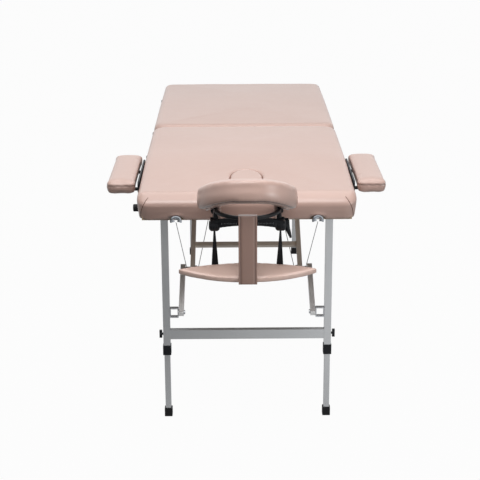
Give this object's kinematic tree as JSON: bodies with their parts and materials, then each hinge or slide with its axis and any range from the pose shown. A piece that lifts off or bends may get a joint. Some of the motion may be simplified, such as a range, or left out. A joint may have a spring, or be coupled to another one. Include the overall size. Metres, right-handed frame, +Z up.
{
  "type": "massage table",
  "caption": "Folding massage table: padded halves hinged at the middle, aluminium legs with telescopic feet and folding struts, armrests, tilting face cradle and hanging arm shelf.",
  "frame": {"origin": "centre of the footprint's box, on the floor", "axes": "+Z up, +Y from the head end towards the foot end, +X to the right seen from the head end"},
  "size_m": [0.922, 2.134, 0.9207],
  "materials": {
    "vinyl": "soft satin vinyl",
    "vinyl_strap": "satin vinyl",
    "webbing": "woven",
    "timber": "sealed",
    "black_plastic": "matte",
    "steel": "zinc plated",
    "cable": "stranded",
    "aluminium": "satin"
  },
  "bodies": {
    "head_half": {"head_side_rails": "timber", "head_cross_rails": "timber", "head_deck": "timber", "head_cushion": "vinyl", "head_bumper_feet": "black_plastic", "head_hinge_leaves": "steel", "head_leg_clevises": "steel", "head_leg_pins": "steel", "head_hanger_axle": "steel", "head_cable_cups": "steel", "head_cables": "cable", "cradle_sockets": "black_plastic", "armrest_sleeves": "black_plastic"},
    "head_leg": {"head_leg_frame": "aluminium", "head_leg_collars": "black_plastic", "head_brace_brackets": "steel"},
    "head_brace_pair": {"head_braces": "aluminium"},
    "head_hanger_frame": {"head_hanger": "aluminium", "head_knee_bolts": "steel"},
    "head_left_extension": {"head_left_inner_leg": "aluminium", "head_left_shoe": "black_plastic"},
    "head_left_clamp": {"head_left_knob": "black_plastic"},
    "head_right_extension": {"head_right_inner_leg": "aluminium", "head_right_shoe": "black_plastic"},
    "head_right_clamp": {"head_right_knob": "black_plastic"},
    "foot_half": {"foot_side_rails": "timber", "foot_cross_rails": "timber", "foot_deck": "timber", "foot_cushion": "vinyl", "foot_bumper_feet": "black_plastic", "foot_hinge_leaves": "steel", "foot_leg_clevises": "steel", "foot_leg_pins": "steel", "foot_hanger_axle": "steel", "foot_cable_cups": "steel", "foot_cables": "cable"},
    "foot_leg": {"foot_leg_frame": "aluminium", "foot_leg_collars": "black_plastic", "foot_brace_brackets": "steel"},
    "foot_brace_pair": {"foot_braces": "aluminium"},
    "foot_hanger_frame": {"foot_hanger": "aluminium", "foot_knee_bolts": "steel"},
    "foot_left_extension": {"foot_left_inner_leg": "aluminium", "foot_left_shoe": "black_plastic"},
    "foot_left_clamp": {"foot_left_knob": "black_plastic"},
    "foot_right_extension": {"foot_right_inner_leg": "aluminium", "foot_right_shoe": "black_plastic"},
    "foot_right_clamp": {"foot_right_knob": "black_plastic"},
    "cradle_slide_base": {"cradle_base": "black_plastic"},
    "cradle_head": {"cradle_platform": "black_plastic", "face_cushion": "vinyl"},
    "cradle_cam": {"cradle_lever": "black_plastic"},
    "hanging_shelf": {"arm_shelf": "vinyl", "shelf_centre_strap": "vinyl_strap", "shelf_side_straps": "webbing"},
    "plug": {"breath_plug": "vinyl"},
    "left_armrest_unit": {"left_armrest": "vinyl", "left_armrest_bars": "steel"},
    "right_armrest_unit": {"right_armrest": "vinyl", "right_armrest_bars": "steel"}
  },
  "joints": [
    {"name": "centre_fold", "type": "hinge", "parent": "head_half", "child": "foot_half", "pos_m": [0, 0.137, 0.697], "axis": [-1, 0, 0], "range_deg": [0, 180]},
    {"name": "head_leg_fold", "type": "hinge", "parent": "head_half", "child": "head_leg", "pos_m": [0, -0.725, 0.728], "axis": [1, 0, 0], "range_deg": [0, 90]},
    {"name": "head_brace_turn", "type": "hinge", "parent": "head_leg", "child": "head_brace_pair", "pos_m": [0, -0.725, 0.372], "axis": [1, 0, 0], "range_deg": [0, 61.65]},
    {"name": "head_hanger_turn", "type": "hinge", "parent": "head_half", "child": "head_hanger_frame", "pos_m": [0, 0.089, 0.751], "axis": [-1, 0, 0], "range_deg": [0, 25.81], "deforming": ["head_cables"]},
    {"name": "head_left_leg_height", "type": "slide", "parent": "head_leg", "child": "head_left_extension", "axis": [0, 0, -1], "range_m": [-0.12, 0.06]},
    {"name": "head_left_knob_turn", "type": "hinge", "parent": "head_leg", "child": "head_left_clamp", "pos_m": [-0.2775, -0.725, 0.296], "axis": [-1, 0, 0], "continuous": true},
    {"name": "head_right_leg_height", "type": "slide", "parent": "head_leg", "child": "head_right_extension", "axis": [0, 0, -1], "range_m": [-0.12, 0.06]},
    {"name": "head_right_knob_turn", "type": "hinge", "parent": "head_leg", "child": "head_right_clamp", "pos_m": [0.2775, -0.725, 0.296], "axis": [1, 0, 0], "continuous": true},
    {"name": "foot_leg_fold", "type": "hinge", "parent": "foot_half", "child": "foot_leg", "pos_m": [0, 0.999, 0.728], "axis": [-1, 0, 0], "range_deg": [0, 90]},
    {"name": "foot_brace_turn", "type": "hinge", "parent": "foot_leg", "child": "foot_brace_pair", "pos_m": [0, 0.999, 0.372], "axis": [-1, 0, 0], "range_deg": [0, 61.65]},
    {"name": "foot_hanger_turn", "type": "hinge", "parent": "foot_half", "child": "foot_hanger_frame", "pos_m": [0, 0.185, 0.751], "axis": [1, 0, 0], "range_deg": [0, 25.81], "deforming": ["foot_cables"]},
    {"name": "foot_left_leg_height", "type": "slide", "parent": "foot_leg", "child": "foot_left_extension", "axis": [0, 0, -1], "range_m": [-0.12, 0.06]},
    {"name": "foot_left_knob_turn", "type": "hinge", "parent": "foot_leg", "child": "foot_left_clamp", "pos_m": [-0.2495, 0.999, 0.296], "axis": [-1, 0, 0], "continuous": true},
    {"name": "foot_right_leg_height", "type": "slide", "parent": "foot_leg", "child": "foot_right_extension", "axis": [0, 0, -1], "range_m": [-0.12, 0.06]},
    {"name": "foot_right_knob_turn", "type": "hinge", "parent": "foot_leg", "child": "foot_right_clamp", "pos_m": [0.2495, 0.999, 0.296], "axis": [1, 0, 0], "continuous": true},
    {"name": "left_armrest_slide", "type": "slide", "parent": "head_half", "child": "left_armrest_unit", "axis": [-1, 0, 0], "range_m": [0, 0.045]},
    {"name": "right_armrest_slide", "type": "slide", "parent": "head_half", "child": "right_armrest_unit", "axis": [1, 0, 0], "range_m": [0, 0.045]},
    {"name": "cradle_slide", "type": "slide", "parent": "head_half", "child": "cradle_slide_base", "axis": [0, -1, 0], "range_m": [0, 0.06]},
    {"name": "cradle_tilt", "type": "hinge", "parent": "cradle_slide_base", "child": "cradle_head", "pos_m": [0, -0.923, 0.742], "axis": [-1, 0, 0], "range_deg": [-17, 6]},
    {"name": "cam_lever_turn", "type": "hinge", "parent": "cradle_slide_base", "child": "cradle_cam", "pos_m": [0.101, -0.923, 0.742], "axis": [-1, 0, 0], "range_deg": [0, 95]},
    {"name": "shelf_swing", "type": "hinge", "parent": "cradle_slide_base", "child": "hanging_shelf", "pos_m": [0, -1.02, 0.7835], "axis": [1, 0, 0], "range_deg": [-8, 8], "deforming": ["shelf_centre_strap", "shelf_side_straps"]},
    {"name": "plug_lift", "type": "slide", "parent": "head_half", "child": "plug", "axis": [0, 0, 1], "range_m": [0, 0.12]}
  ],
  "couplings": [
    {"joint": "head_leg_fold", "follows": "centre_fold", "ratio": 0.5},
    {"joint": "head_brace_turn", "follows": "centre_fold", "ratio": 0.34248},
    {"joint": "head_hanger_turn", "follows": "centre_fold", "ratio": 0.1434},
    {"joint": "foot_leg_fold", "follows": "centre_fold", "ratio": 0.5},
    {"joint": "foot_brace_turn", "follows": "centre_fold", "ratio": 0.34248},
    {"joint": "foot_hanger_turn", "follows": "centre_fold", "ratio": 0.1434}
  ]
}
